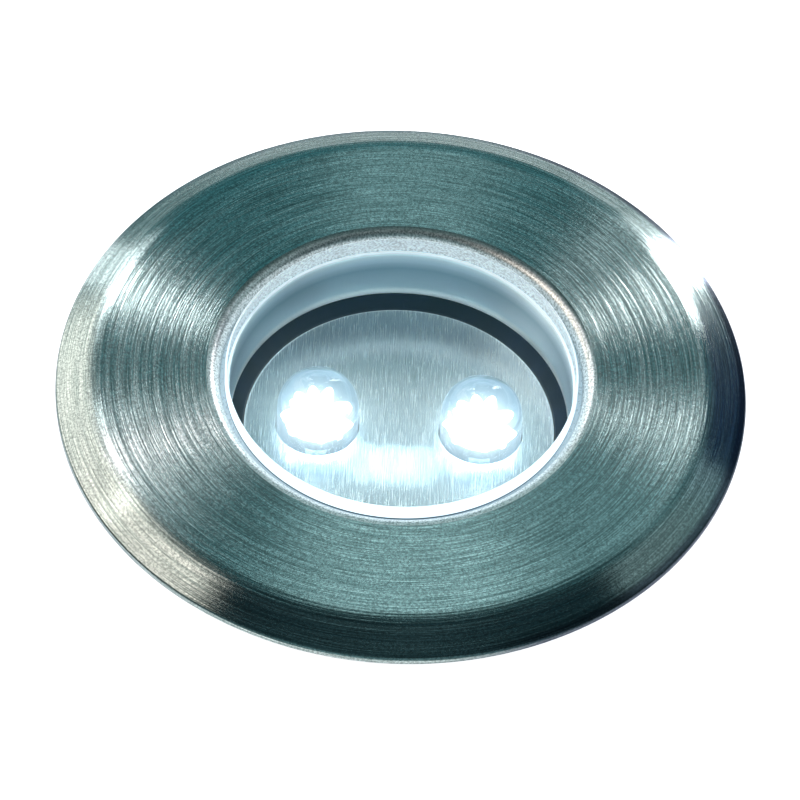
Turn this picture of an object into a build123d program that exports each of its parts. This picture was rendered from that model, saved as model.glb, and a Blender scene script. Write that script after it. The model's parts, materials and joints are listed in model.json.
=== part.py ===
"""A recessed deck light: a turned steel flange that lies on a deck, with two clear LEDs under a glass disc.

Millimetres. +Z points up out of the deck, and the origin is on the light's axis in the plane of the deck.
"""

import os
from math import acos, atan2, cos, degrees, hypot, radians, sin, sqrt

from build123d import *

os.makedirs("parts", exist_ok=True)

# Flange: its face above the deck, the shoulder round it and the lip inside it
flange_top = 1.55
shoulder_width = 2.2
shoulder_round = 2.4
rim_height = 0.4
rim_round = 0.15
lip_round = 0.85

# Spigot and barrel: what goes down into the deck hole
spigot_step = 2.5
spigot_length = 2.5
barrel_wall = 1.0
clamp_ledge = 1.0

# Foam ring under the flange, between the spigot and the flange's rim
foam_gap = 0.7
foam_width = 4.1
foam_setback = 1.4
foam_thickness = 0.7
foam_clearance = 0.05

# Glass disc and the bead of sealant round it
lens_radius = 10.75
lens_thickness = 2.0
lens_proud = 0.2
lens_chamfer = 0.12
bead_thickness = 0.25

# Recess between the glass and the faceplate
recess_ledge = 0.3
recess_depth = 3.75
recess_taper = 0.15
groove_width = 0.8
plate_drop = 0.5
plate_thickness = 0.8
plate_chamfer = 0.1

# LEDs: round bodies of the common five millimetre kind, set in from the faceplate's edge
led_radius = 2.5
led_length = 8.7
led_flange_rim = 0.4
led_flange_height = 1.0
led_lens_gap = 0.27
led_hole_clearance = 0.1
led_edge_margin = 1.9

# Lead frame and chip inside each LED
lead_width = 0.5
lead_pitch = 2.54
lead_trim = 0.7
anvil_rise = 2.0
anvil_width = 0.9
post_rise = 4.3
post_width = 0.45
cup_radius = 0.95
cup_rim = 0.2
cup_height = 0.8
cup_depth = 0.45
cup_floor_radius = 0.35
cup_top_rise = 5.0

# Carrier that holds the faceplate and the LEDs, and the board under it
carrier_flange = 0.6
carrier_clearance = 0.1
boss_radius = 1.5
board_clearance = 0.2
board_thickness = 1.2
lead_hole_clearance = 0.07
solder_foot_radius = 0.8
solder_tip_radius = 0.4
solder_height = 0.6

# Screws that hold the board to the carrier
screw_radius = 0.8
screw_length = 3.4
screw_head_radius = 1.4
screw_head_height = 0.7
screw_slot_width = 0.35
screw_slot_depth = 0.3
screw_point = 0.25
screw_setback = 2.5
thread_clearance = 0.03
board_hole_clearance = 0.15

# Parts on the underside of the board: along the rim, towards the axis, and down
rectifier_length = 4.0
rectifier_width = 2.2
rectifier_height = 1.5
driver_length = 4.5
driver_width = 2.1
driver_height = 1.4
capacitor_length = 3.5
capacitor_width = 2.3
capacitor_height = 1.9
resistor_length = 2.0
resistor_width = 1.25
resistor_height = 0.5
terminal_length = 3.6
terminal_width = 2.1
terminal_height = 1.8
terminal_hole_radius = 0.55
terminal_gap = 0.2
foot_pad_length = 0.5
foot_pad_thickness = 0.2
foot_pad_width_share = 0.35
component_clearance = 0.28
rectifier_angle = 50
driver_angle = 130
resistor_angles = (216, 240)
capacitor_angle = 310

# Housing behind the barrel
neck_clearance = 0.05
neck_wall = 0.95
neck_length = 1.1
floor_taper = 2.9
floor_wall = 1.0
floor_thickness = 1.2
floor_round = 0.8
ring_section = 0.5

# Cable gland in the housing's floor
gland_thread_radius = 3.0
gland_hole_clearance = 0.05
gland_bore_radius = 2.1
gland_flange_across = 8.4
gland_flange_height = 1.0
gland_boss_radius = 3.2
gland_boss_length = 2.4
gland_thread_end = 0.3
washer_width = 0.7
washer_thickness = 0.4
locknut_across = 7.0
locknut_height = 1.0
cable_radius = 1.75
seal_wall = 0.9
seal_length = 1.8
seal_stand_out = 0.4
gland_nut_across = 7.8
gland_nut_gap = 0.3
gland_nut_floor = 0.8
gland_nut_hole_clearance = 0.45
gland_nut_chamfer = 0.4

# Spring clips: a sprung arm on a pin between two ears, on each side
pocket_depth = 0.35
hinge_standoff = 1.35
ear_drop = 1.42
ear_radius = 1.0
ear_thickness = 0.9
clip_width = 4.8
clip_side_clearance = 0.3
clip_sheet = 0.5
clip_lean = 34
foot_length = 1.2
foot_turn = 41
foot_bend = 0.6
tip_clearance = 0.8
eye_width = 0.95
heel_tilt = 30
heel_width = 0.6
heel_clearance = 0.05
pin_radius = 0.5
pin_clearance = 0.05
pin_ear_clearance = 0.02
pin_head_radius = 0.75
pin_head_height = 0.25

# Torsion spring on each pin
spring_wire_radius = 0.13
spring_coil_radius = 0.8
spring_turns = 3
spring_side_clearance = 0.17
spring_touch = 0.02
spring_wall_leg = 1.2
spring_arm_share = 0.6

# How far a cut runs past the face that it opens
overrun = 1.0

# Heights, worked out from the top down
lens_top = flange_top + lens_proud
lens_seat = lens_top - lens_thickness
lip_foot = flange_top - lip_round
recess_floor = lens_seat - recess_depth
plate_top = recess_floor - plate_drop
plate_bottom = plate_top - plate_thickness
carrier_step = plate_bottom - carrier_flange
led_top = lens_seat - led_lens_gap
board_top = led_top - led_length
led_flange_top = board_top + led_flange_height
board_bottom = board_top - board_thickness
component_room = component_clearance + max(
    capacitor_height, terminal_height, rectifier_height, driver_height, locknut_height + gland_thread_end
)
floor_top = board_bottom - component_room
floor_bottom = floor_top - floor_thickness
barrel_bottom = carrier_step - neck_length

# Radii, worked out from the glass outwards and then from the barrel inwards
lens_pocket_radius = lens_radius + bead_thickness
recess_top_radius = lens_radius - recess_ledge
recess_floor_radius = recess_top_radius - recess_taper
plate_radius = recess_floor_radius - groove_width
barrel_bore_radius = recess_floor_radius + clamp_ledge
barrel_radius = barrel_bore_radius + barrel_wall
spigot_radius = barrel_radius + spigot_step
foam_inner_radius = spigot_radius + foam_gap
foam_outer_radius = foam_inner_radius + foam_width
flange_radius = foam_outer_radius + foam_setback
neck_radius = barrel_bore_radius - neck_clearance
neck_bore_radius = neck_radius - neck_wall
carrier_radius = barrel_bore_radius - carrier_clearance
carrier_body_radius = neck_bore_radius - carrier_clearance
board_radius = neck_bore_radius - board_clearance
floor_radius = barrel_radius - floor_taper
floor_bore_radius = floor_radius - floor_wall
screw_circle_radius = board_radius - screw_setback

# Places of the LEDs
led_hole_radius = led_radius + led_hole_clearance
led_flange_radius = led_radius + led_flange_rim
led_pitch = 2 * (plate_radius - led_hole_radius - led_edge_margin)

# Places of the clips
pocket_face = barrel_radius - pocket_depth
hinge_x = pocket_face + hinge_standoff
hinge_z = barrel_bottom - ear_drop - ear_radius
ear_gap = clip_width + 2 * clip_side_clearance
eye_bore_radius = pin_radius + pin_clearance
eye_radius = eye_bore_radius + clip_sheet
window_width = clip_width - 2 * eye_width

SIDES = {"left": -1, "right": 1}


def hand_over(piece, name):
    """Labels a finished piece and writes it."""
    piece.part.label = name
    export_step(piece.part, f"parts/{name}.step")


def turn(*corners, mode=Mode.ADD):
    """Turns an outline about the light's axis. A corner is a radius, a height and any rounding."""
    with BuildSketch(Plane.XZ) as outline:
        with BuildLine():
            FilletPolyline(
                *[corner[:2] for corner in corners],
                radius=[corner[2] if len(corner) > 2 else 0 for corner in corners],
                close=True,
            )
        make_face()
    revolve(outline.sketch, axis=Axis.Z, mode=mode)


def turn_ring(inner, outer, low, high, mode=Mode.ADD):
    """Turns a plain ring between two radii and two heights."""
    turn((inner, low), (outer, low), (outer, high), (inner, high), mode=mode)


def led_places():
    """Where the two LEDs stand in plan."""
    return GridLocations(led_pitch, 0, 2, 1)


def lead_places():
    """Where the four leads go through the board."""
    return GridLocations(led_pitch, lead_pitch, 2, 2)


def screw_places():
    """Where the two board screws stand in plan."""
    return GridLocations(0, 2 * screw_circle_radius, 1, 2)


# Bezel: flange, lip, recess wall, spigot and barrel turned from one bar
with BuildPart() as bezel:
    turn(
        (lens_pocket_radius, lens_seat),
        (lens_pocket_radius, flange_top, lip_round),
        (flange_radius - shoulder_width, flange_top, shoulder_round),
        (flange_radius, rim_height, rim_round),
        (flange_radius, 0),
        (foam_outer_radius, 0),
        (foam_outer_radius, foam_thickness),
        (foam_inner_radius, foam_thickness),
        (foam_inner_radius, 0),
        (spigot_radius, 0),
        (spigot_radius, -spigot_length),
        (barrel_radius, -spigot_length),
        (barrel_radius, barrel_bottom),
        (barrel_bore_radius, barrel_bottom),
        (barrel_bore_radius, recess_floor),
        (recess_floor_radius, recess_floor),
        (recess_top_radius, lens_seat),
    )
hand_over(bezel, "bezel")

# Foam ring that seals the flange to the deck, flush with the flange's rim
with BuildPart() as flange_gasket:
    turn_ring(
        foam_inner_radius + foam_clearance, foam_outer_radius - foam_clearance, 0, foam_thickness
    )
hand_over(flange_gasket, "flange_gasket")

# Glass disc on its ledge, its edges broken
with BuildPart() as lens:
    with BuildSketch(Plane.XY.offset(lens_seat)):
        Circle(lens_radius)
    extrude(amount=lens_thickness)
    chamfer(lens.edges().filter_by(GeomType.CIRCLE), length=lens_chamfer)
hand_over(lens, "lens")

# Bead of clear sealant between the glass and the bezel
with BuildPart() as lens_seal:
    turn_ring(lens_radius, lens_pocket_radius, lens_seat, lip_foot)
hand_over(lens_seal, "lens_seal")

# Brushed disc on the floor of the recess, with a hole for each LED
with BuildPart() as faceplate:
    with BuildSketch(Plane.XY.offset(plate_bottom)):
        Circle(plate_radius)
        with led_places():
            Circle(led_hole_radius, mode=Mode.SUBTRACT)
    extrude(amount=plate_thickness)
    plate_edge = faceplate.edges().filter_by(GeomType.CIRCLE).group_by(Axis.Z)[-1].sort_by(SortBy.RADIUS)[-1]
    chamfer(plate_edge, length=plate_chamfer)
hand_over(faceplate, "faceplate")

# Black rubber ring in the groove round the faceplate
with BuildPart() as faceplate_gasket:
    turn(
        (plate_radius + carrier_clearance, plate_bottom),
        (carrier_radius, plate_bottom),
        (carrier_radius, recess_floor),
        (recess_floor_radius, recess_floor),
        (plate_radius + carrier_clearance, plate_top),
    )
hand_over(faceplate_gasket, "faceplate_gasket")

# Moulded carrier: a flange clamped in the barrel, a body in the housing's neck, and two bosses on the board
with BuildPart() as led_holder:
    turn(
        (0, led_flange_top),
        (carrier_body_radius, led_flange_top),
        (carrier_body_radius, carrier_step),
        (carrier_radius, carrier_step),
        (carrier_radius, plate_bottom),
        (0, plate_bottom),
    )
    with BuildSketch(Plane.XY.offset(board_top)):
        with screw_places():
            Circle(boss_radius)
    extrude(amount=led_flange_height)
    with BuildSketch(Plane.XY.offset(plate_bottom)):
        with led_places():
            Circle(led_hole_radius)
    extrude(until=Until.LAST, dir=(0, 0, -1), mode=Mode.SUBTRACT)
    with BuildSketch(Plane.XY.offset(board_top)):
        with screw_places():
            Circle(screw_radius + thread_clearance)
    extrude(amount=screw_length - board_thickness + thread_clearance, mode=Mode.SUBTRACT)
hand_over(led_holder, "led_holder")


def lead_frame(side):
    """Cathode anvil with the reflector cup, and the anode post beside it, down to the cut leads."""
    led = side * led_pitch / 2
    lead = lead_pitch / 2
    cup_top = board_top + cup_top_rise
    cup_bottom = cup_top - cup_height
    lead_bottom = board_bottom - lead_trim
    with BuildPart() as frame:
        with BuildSketch(Plane.XY.offset(lead_bottom)):
            with Locations((led, -lead), (led, lead)):
                Rectangle(lead_width, lead_width)
        extrude(amount=board_top + anvil_rise - lead_bottom)
        with BuildSketch(Plane.XY.offset(board_top + anvil_rise)):
            with Locations((led, lead)):
                Rectangle(lead_width, post_width)
        extrude(amount=post_rise - anvil_rise)
        with BuildSketch(Plane((led, 0, board_top + anvil_rise), x_dir=(0, 1, 0), z_dir=(1, 0, 0))):
            with BuildLine():
                Polyline(
                    (-lead - lead_width / 2, 0),
                    (-lead + lead_width / 2, 0),
                    (cup_floor_radius, cup_bottom - board_top - anvil_rise),
                    (-cup_radius, cup_bottom - board_top - anvil_rise),
                    close=True,
                )
            make_face()
        extrude(amount=anvil_width / 2, both=True)
        with BuildSketch(Plane.XY.offset(cup_bottom)):
            with Locations((led, 0)):
                Circle(cup_radius)
        extrude(amount=cup_height)
        add(chip(side), mode=Mode.SUBTRACT)
    return frame.part


def chip(side):
    """Light-giving chip under phosphor: it fills the cup."""
    cup_top = board_top + cup_top_rise
    with BuildPart() as phosphor:
        with BuildSketch(Plane.XY.offset(cup_top - cup_depth)):
            with Locations((side * led_pitch / 2, 0)):
                Circle(cup_floor_radius)
        with BuildSketch(Plane.XY.offset(cup_top)):
            with Locations((side * led_pitch / 2, 0)):
                Circle(cup_radius - cup_rim)
        loft()
    return phosphor.part


def led_body(side):
    """Clear moulded body: a domed cylinder on a flange that has one flat, round its frame and chip."""
    led = side * led_pitch / 2
    with BuildPart() as body:
        with BuildSketch(Plane.XY.offset(board_top)):
            with Locations((led, 0)):
                Circle(led_flange_radius)
            with Locations((led, -led_flange_radius)):
                Rectangle(2 * led_radius, 2 * (led_flange_radius - led_radius), mode=Mode.SUBTRACT)
        extrude(amount=led_flange_height)
        with BuildSketch(Plane.XY.offset(board_top)):
            with Locations((led, 0)):
                Circle(led_radius)
        extrude(amount=led_length - led_radius)
        with Locations((led, 0, led_top - led_radius)):
            Sphere(led_radius)
        add(lead_frame(side), mode=Mode.SUBTRACT)
        add(chip(side), mode=Mode.SUBTRACT)
    return body.part


# LEDs, left and right: body, lead frame and chip
for side_name, side in SIDES.items():
    with BuildPart() as led:
        add(led_body(side))
    hand_over(led, f"led_{side_name}")
    with BuildPart() as led_frame:
        add(lead_frame(side))
    hand_over(led_frame, f"led_frame_{side_name}")
    with BuildPart() as led_chip:
        add(chip(side))
    hand_over(led_chip, f"led_chip_{side_name}")

# Round circuit board with holes for the leads and the screws
with BuildPart() as circuit_board:
    with BuildSketch(Plane.XY.offset(board_bottom)):
        Circle(board_radius)
        with lead_places():
            Circle(lead_width / sqrt(2) + lead_hole_clearance, mode=Mode.SUBTRACT)
        with screw_places():
            Circle(screw_radius + board_hole_clearance, mode=Mode.SUBTRACT)
    extrude(amount=board_thickness)
hand_over(circuit_board, "circuit_board")

# Solder cones round the leads under the board
with BuildPart() as solder_joints:
    with BuildSketch(Plane.XY.offset(board_bottom)):
        with lead_places():
            Circle(solder_foot_radius)
    solder_slope = degrees(atan2(solder_foot_radius - solder_tip_radius, solder_height))
    extrude(amount=solder_height, dir=(0, 0, -1), taper=solder_slope)
    with BuildSketch(Plane.XY.offset(board_bottom)):
        with lead_places():
            Rectangle(lead_width, lead_width)
    extrude(amount=solder_height, dir=(0, 0, -1), mode=Mode.SUBTRACT)
hand_over(solder_joints, "solder_joints")

# Two slotted pan-head screws up through the board
with BuildPart() as board_screws:
    with BuildSketch(Plane.XY.offset(board_bottom - screw_head_height)):
        with screw_places():
            Circle(screw_head_radius)
    extrude(amount=screw_head_height)
    with BuildSketch(Plane.XY.offset(board_bottom)):
        with screw_places():
            Circle(screw_radius)
    extrude(amount=screw_length)
    with BuildSketch(Plane.XY.offset(board_bottom - screw_head_height)):
        with screw_places():
            Rectangle(2 * screw_head_radius, screw_slot_width)
    extrude(amount=screw_slot_depth, mode=Mode.SUBTRACT)
    chamfer(board_screws.edges().group_by(Axis.Z)[-1], length=screw_point)
hand_over(board_screws, "board_screws")


def rim_place(angle, length, width):
    """Where a block's middle goes so that its outer corners just reach the radius of the housing's floor."""
    distance = sqrt(floor_bore_radius**2 - (length / 2) ** 2) - width / 2
    return Location((distance * cos(radians(angle)), distance * sin(radians(angle)), 0), (0, 0, angle))


def block(place, length, width, height):
    """Hangs a moulded block from the board, its long side along the rim."""
    with BuildSketch(Plane.XY.offset(board_bottom)) as outline:
        with Locations(place):
            Rectangle(width, length)
    extrude(outline.sketch, amount=height, dir=(0, 0, -1))


def solder_feet(place, length, width, count):
    """Adds thin metal feet along both long sides of a block, against the board."""
    spacing = length / count
    with BuildSketch(Plane.XY.offset(board_bottom)) as pads:
        with Locations(place):
            with GridLocations(width, spacing, 2, count):
                Rectangle(foot_pad_length, spacing * foot_pad_width_share)
    extrude(pads.sketch, amount=foot_pad_thickness, dir=(0, 0, -1))


# Bridge rectifier, driver and capacitor: one moulded block each, with its feet
for name, angle, length, width, height, foot_count in (
    ("bridge_rectifier", rectifier_angle, rectifier_length, rectifier_width, rectifier_height, 2),
    ("led_driver", driver_angle, driver_length, driver_width, driver_height, 3),
    ("capacitor", capacitor_angle, capacitor_length, capacitor_width, capacitor_height, 1),
):
    with BuildPart() as component:
        block(rim_place(angle, length, width), length, width, height)
        solder_feet(rim_place(angle, length, width), length, width, foot_count)
    hand_over(component, name)

# Two chip resistors side by side along the rim
with BuildPart() as resistors:
    for angle in resistor_angles:
        place = rim_place(angle, resistor_length, resistor_width)
        block(place, resistor_length, resistor_width, resistor_height)
hand_over(resistors, "resistors")

# Two-pole push-in terminal beside the solder joints on the right, its wire holes towards the light's axis
with BuildPart() as wire_terminal:
    terminal_face = led_pitch / 2 + solder_foot_radius + terminal_gap
    terminal_place = Location((terminal_face + terminal_width / 2, 0, 0))
    block(terminal_place, terminal_length, terminal_width, terminal_height)
    with BuildSketch(Plane.YZ.offset(terminal_face)):
        with Locations((0, board_bottom - terminal_height / 2)):
            with GridLocations(terminal_length / 2, 0, 2, 1):
                Circle(terminal_hole_radius)
    extrude(amount=terminal_width / 2, mode=Mode.SUBTRACT)
hand_over(wire_terminal, "wire_terminal")


def side_plane(side):
    """A plane square to one hinge pin, through its middle: X points away from the light's axis, Y up."""
    return Plane(origin=(side * hinge_x, 0, hinge_z), x_dir=(side, 0, 0), z_dir=(0, -side, 0))


# Housing: a cup whose neck goes up into the barrel, with a pair of ears and a flat pocket on each side
ring_middle = (carrier_step + barrel_bottom) / 2
gland_hole_radius = gland_thread_radius + gland_hole_clearance
with BuildPart() as housing:
    turn(
        (neck_bore_radius, carrier_step),
        (neck_radius, carrier_step),
        (neck_radius, barrel_bottom),
        (barrel_radius, barrel_bottom),
        (barrel_radius, board_bottom),
        (floor_radius, floor_bottom, floor_round),
        (gland_hole_radius, floor_bottom),
        (gland_hole_radius, floor_top),
        (floor_bore_radius, floor_top),
        (neck_bore_radius, board_bottom),
    )
    turn_ring(
        neck_radius - ring_section,
        neck_radius + overrun,
        ring_middle - ring_section / 2,
        ring_middle + ring_section / 2,
        mode=Mode.SUBTRACT,
    )
    ear_root = hinge_x - (neck_bore_radius + barrel_radius) / 2
    for side in SIDES.values():
        with BuildSketch(side_plane(side)):
            with Locations((-hinge_standoff / 2, (barrel_bottom + floor_bottom) / 2 - hinge_z)):
                Rectangle(hinge_standoff, barrel_bottom - floor_bottom)
        extrude(amount=ear_gap / 2, both=True, mode=Mode.SUBTRACT)
        for ear in (-1, 1):
            with BuildSketch(side_plane(side).offset(ear * (ear_gap + ear_thickness) / 2)):
                Circle(ear_radius)
                with Locations((-ear_root / 2, 0)):
                    Rectangle(ear_root, 2 * ear_radius)
                Circle(pin_radius + pin_ear_clearance, mode=Mode.SUBTRACT)
            extrude(amount=ear_thickness / 2, both=True)
hand_over(housing, "housing")

# Rubber ring in the groove of the housing's neck
with BuildPart() as housing_o_ring:
    with BuildSketch(Plane.XZ):
        with Locations((neck_radius - ring_section / 2, ring_middle)):
            Circle(ring_section / 2)
    revolve(axis=Axis.Z)
hand_over(housing_o_ring, "housing_o_ring")

# Heights of the cable gland, from the floor of the housing down
gland_top = floor_top + locknut_height + gland_thread_end
gland_seat = floor_bottom - washer_thickness
gland_flange_bottom = gland_seat - gland_flange_height
gland_bottom = gland_flange_bottom - gland_boss_length
seal_top = gland_bottom + seal_length - seal_stand_out
seal_bottom = seal_top - seal_length
seal_radius = cable_radius + seal_wall
gland_nut_bottom = seal_bottom - gland_nut_floor


def hexagon(across, low, high):
    """Extrudes a hexagon of a given size across its flats between two heights."""
    with BuildSketch(Plane.XY.offset(low)) as outline:
        RegularPolygon(radius=across / 2, side_count=6, major_radius=False)
    extrude(outline.sketch, amount=high - low)


# Gland body: a thread through the floor, a hexagon under it and a boss that takes the seal
with BuildPart() as gland_body:
    hexagon(gland_flange_across, gland_flange_bottom, gland_seat)
    turn_ring(0, gland_thread_radius, gland_flange_bottom, gland_top)
    turn_ring(0, gland_boss_radius, gland_bottom, gland_seat)
    turn_ring(0, gland_bore_radius, gland_bottom, gland_top, mode=Mode.SUBTRACT)
    turn_ring(0, seal_radius, gland_bottom, seal_top, mode=Mode.SUBTRACT)
hand_over(gland_body, "gland_body")

# Flat rubber washer between the gland's hexagon and the housing
with BuildPart() as gland_washer:
    turn_ring(gland_hole_radius, gland_hole_radius + washer_width, gland_seat, floor_bottom)
hand_over(gland_washer, "gland_washer")

# Nut that holds the gland from inside the housing
with BuildPart() as gland_locknut:
    hexagon(locknut_across, floor_top, floor_top + locknut_height)
    locknut_bore_radius = gland_thread_radius + thread_clearance
    turn_ring(0, locknut_bore_radius, floor_top, floor_top + locknut_height, mode=Mode.SUBTRACT)
hand_over(gland_locknut, "gland_locknut")

# Rubber sleeve that grips the cable
with BuildPart() as gland_seal:
    turn_ring(cable_radius, seal_radius, seal_bottom, seal_top)
hand_over(gland_seal, "gland_seal")

# Cap nut that squeezes the sleeve
with BuildPart() as gland_nut:
    gland_nut_top = gland_flange_bottom - gland_nut_gap
    hexagon(gland_nut_across, gland_nut_bottom, gland_nut_top)
    chamfer(gland_nut.edges().group_by(Axis.Z)[0], length=gland_nut_chamfer)
    turn_ring(0, gland_boss_radius + thread_clearance, seal_bottom, gland_nut_top, mode=Mode.SUBTRACT)
    turn_ring(0, cable_radius + gland_nut_hole_clearance, gland_nut_bottom, seal_bottom, mode=Mode.SUBTRACT)
hand_over(gland_nut, "gland_nut")

# Sizes of a spring clip that follow from the room round it
folded_reach = -spigot_length - hinge_z - tip_clearance
arm_length = folded_reach - foot_length * cos(radians(foot_turn))
arm_start = spring_coil_radius + spring_wire_radius + clip_side_clearance


def strip(*points, bend=0):
    """Draws a strip of the clip's sheet along a line of points, square at its ends."""
    with BuildLine() as route:
        if bend:
            FilletPolyline(*points, radius=bend)
        else:
            Polyline(*points)
    trace(route.line, line_width=clip_sheet)


def clip_direction(angle):
    """Direction at an angle from straight up, leaning away from the light's axis, on a side plane."""
    return Vector(sin(radians(angle)), cos(radians(angle)))


# Spring clips: a bent arm, the two eyes that it turns on and two heels that stop it against the pocket
for side_name, side in SIDES.items():
    arm = clip_direction(clip_lean)
    foot = clip_direction(clip_lean + foot_turn)
    heel = clip_direction(-90 - heel_tilt)
    heel_reach = hinge_standoff - heel_clearance - clip_sheet / 2 * sin(radians(heel_tilt))
    with BuildPart() as clip:
        with BuildSketch(side_plane(side)):
            strip(arm * arm_start, arm * arm_length, arm * arm_length + foot * foot_length, bend=foot_bend)
        extrude(amount=clip_width / 2, both=True)
        for end in (-1, 1):
            with BuildSketch(side_plane(side).offset(end * (clip_width - eye_width) / 2)):
                Circle(eye_radius)
                strip(arm * eye_bore_radius, arm * (arm_start + clip_sheet))
                Circle(eye_bore_radius, mode=Mode.SUBTRACT)
            extrude(amount=eye_width / 2, both=True)
            with BuildSketch(side_plane(side).offset(end * (clip_width - heel_width) / 2)):
                heel_tip = heel * (heel_reach / cos(radians(heel_tilt)))
                strip(heel * (eye_bore_radius + clip_sheet / 2), heel_tip)
            extrude(amount=heel_width / 2, both=True)
    hand_over(clip, f"clip_{side_name}")

    with BuildPart() as clip_pin:
        with BuildSketch(side_plane(side)):
            Circle(pin_radius)
        pin_half_length = ear_gap / 2 + ear_thickness
        extrude(amount=pin_half_length, both=True)
        for end in (-1, 1):
            with BuildSketch(side_plane(side).offset(end * (pin_half_length + pin_head_height / 2))):
                Circle(pin_head_radius)
            extrude(amount=pin_head_height / 2, both=True)
    hand_over(clip_pin, f"clip_pin_{side_name}")

# Torsion springs: the angles at which the wire leaves the coil, so that one leg meets the arm and the other
# the pocket
arm_offset = clip_sheet / 2 + spring_wire_radius + spring_touch
arm_leg = arm_length * spring_arm_share
arm_leg_tilt = degrees(
    acos(arm_offset / hypot(spring_coil_radius, arm_leg)) - atan2(arm_leg, spring_coil_radius)
)
wall_offset = hinge_standoff - spring_wire_radius - spring_touch
wall_leg_tilt = degrees(
    atan2(spring_wall_leg, spring_coil_radius)
    - acos(wall_offset / hypot(spring_coil_radius, spring_wall_leg))
)
coil_sweep = 360 * spring_turns + clip_lean + arm_leg_tilt - wall_leg_tilt
coil_half_width = window_width / 2 - spring_wire_radius - spring_side_clearance
coil_rise = 2 * coil_half_width / (radians(coil_sweep) * spring_coil_radius)


def coil_point(share):
    """Place and direction of the wire at a share of its way round the coil, on the right-hand side."""
    angle = radians(180 - wall_leg_tilt - coil_sweep * share)
    place = Vector(
        hinge_x + spring_coil_radius * cos(angle),
        coil_half_width * (2 * share - 1),
        hinge_z + spring_coil_radius * sin(angle),
    )
    return place, Vector(sin(angle), coil_rise, -cos(angle)).normalized()


def biarc_joint(start, start_way, end, end_way):
    """Where two arcs meet that lead smoothly from one place and direction to another."""
    chord = end - start
    along = chord.dot(start_way + end_way)
    turn_share = 2 * (1 - start_way.dot(end_way))
    reach = (sqrt(along**2 + turn_share * chord.dot(chord)) - along) / turn_share
    return (start + end + (start_way - end_way) * reach) / 2


def mirrored(vector, side):
    """The same place or direction on the left or the right of the light."""
    return Vector(side * vector.X, vector.Y, vector.Z)


quarter_turns = 4 * spring_turns
stations = [coil_point(step / quarter_turns) for step in range(quarter_turns + 1)]
for side_name, side in SIDES.items():
    with BuildPart() as clip_spring:
        first, first_way = stations[0]
        last, last_way = stations[-1]
        wire_end = mirrored(first - first_way * spring_wall_leg, side)
        with BuildLine():
            Line(wire_end, mirrored(first, side))
            for (start, start_way), (end, end_way) in zip(stations, stations[1:]):
                joint = biarc_joint(start, start_way, end, end_way)
                TangentArc(mirrored(start, side), mirrored(joint, side), tangent=mirrored(start_way, side))
                TangentArc(mirrored(end, side), mirrored(joint, side), tangent=mirrored(-end_way, side))
            Line(mirrored(last, side), mirrored(last + last_way * arm_leg, side))
        with BuildSketch(Plane(wire_end, z_dir=mirrored(first_way, side))):
            Circle(spring_wire_radius)
        sweep()
    hand_over(clip_spring, f"clip_spring_{side_name}")

# The spring's least gap to itself, measured between points half a turn or more apart
steps_in_half_turn = 12
gap_steps = 2 * steps_in_half_turn * spring_turns
gap_points = [coil_point(step / gap_steps)[0] for step in range(gap_steps + 1)]
least_gap = min(
    (far - near).length
    for index, near in enumerate(gap_points)
    for far in gap_points[index + steps_in_half_turn :]
)
print("least gap of a clip spring to itself, mm:", round(least_gap - 2 * spring_wire_radius, 3))
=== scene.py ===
# %% [markdown]
# # A recessed deck light
#
# The light is one small turned piece of steel with a glass disc in its middle and two white LEDs deep below
# the glass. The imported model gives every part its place. This lesson gives the parts that show their fine
# shape and finish, and every other part a finish of its own.

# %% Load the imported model
import json
from math import atan2, cos, hypot, pi, radians, sin, tan

import bmesh
import bpy
from mathutils import Matrix, Vector


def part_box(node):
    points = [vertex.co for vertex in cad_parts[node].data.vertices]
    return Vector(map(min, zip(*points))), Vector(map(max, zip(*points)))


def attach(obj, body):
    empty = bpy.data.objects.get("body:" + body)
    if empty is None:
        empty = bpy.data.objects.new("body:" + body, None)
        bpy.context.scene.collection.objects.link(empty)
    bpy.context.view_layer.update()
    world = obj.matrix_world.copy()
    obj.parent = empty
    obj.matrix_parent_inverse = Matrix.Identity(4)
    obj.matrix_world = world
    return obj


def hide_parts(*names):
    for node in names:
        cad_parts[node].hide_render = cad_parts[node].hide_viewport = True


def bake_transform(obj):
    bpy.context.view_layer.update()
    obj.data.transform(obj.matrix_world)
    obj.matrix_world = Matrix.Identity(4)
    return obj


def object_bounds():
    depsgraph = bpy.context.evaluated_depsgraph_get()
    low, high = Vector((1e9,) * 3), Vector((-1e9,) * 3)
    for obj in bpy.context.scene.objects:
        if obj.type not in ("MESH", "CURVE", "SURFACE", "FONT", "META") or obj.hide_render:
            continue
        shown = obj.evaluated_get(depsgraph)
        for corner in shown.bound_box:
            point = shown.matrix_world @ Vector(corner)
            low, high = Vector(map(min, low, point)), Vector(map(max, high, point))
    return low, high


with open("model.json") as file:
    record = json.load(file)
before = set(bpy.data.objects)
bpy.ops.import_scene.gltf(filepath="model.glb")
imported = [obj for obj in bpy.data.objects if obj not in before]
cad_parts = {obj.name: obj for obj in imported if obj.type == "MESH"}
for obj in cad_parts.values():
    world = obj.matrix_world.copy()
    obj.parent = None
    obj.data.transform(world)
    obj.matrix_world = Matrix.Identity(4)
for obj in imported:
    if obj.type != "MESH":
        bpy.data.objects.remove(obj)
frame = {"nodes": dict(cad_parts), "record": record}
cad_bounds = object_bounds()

cad_nodes = frame["nodes"]
cad_box_mm = [[round(v * 1000, 2) for v in corner] for corner in cad_bounds]
print("CAD nodes:", len(cad_nodes), "box in mm:", cad_box_mm)

# %% [markdown]
# ## Measures
#
# A piece that is modelled again must fit the frame, so its sizes are read from the boxes of the CAD nodes.
# Only what a box can't say, such as the rounding of an edge, is written down here, in metres.

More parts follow.
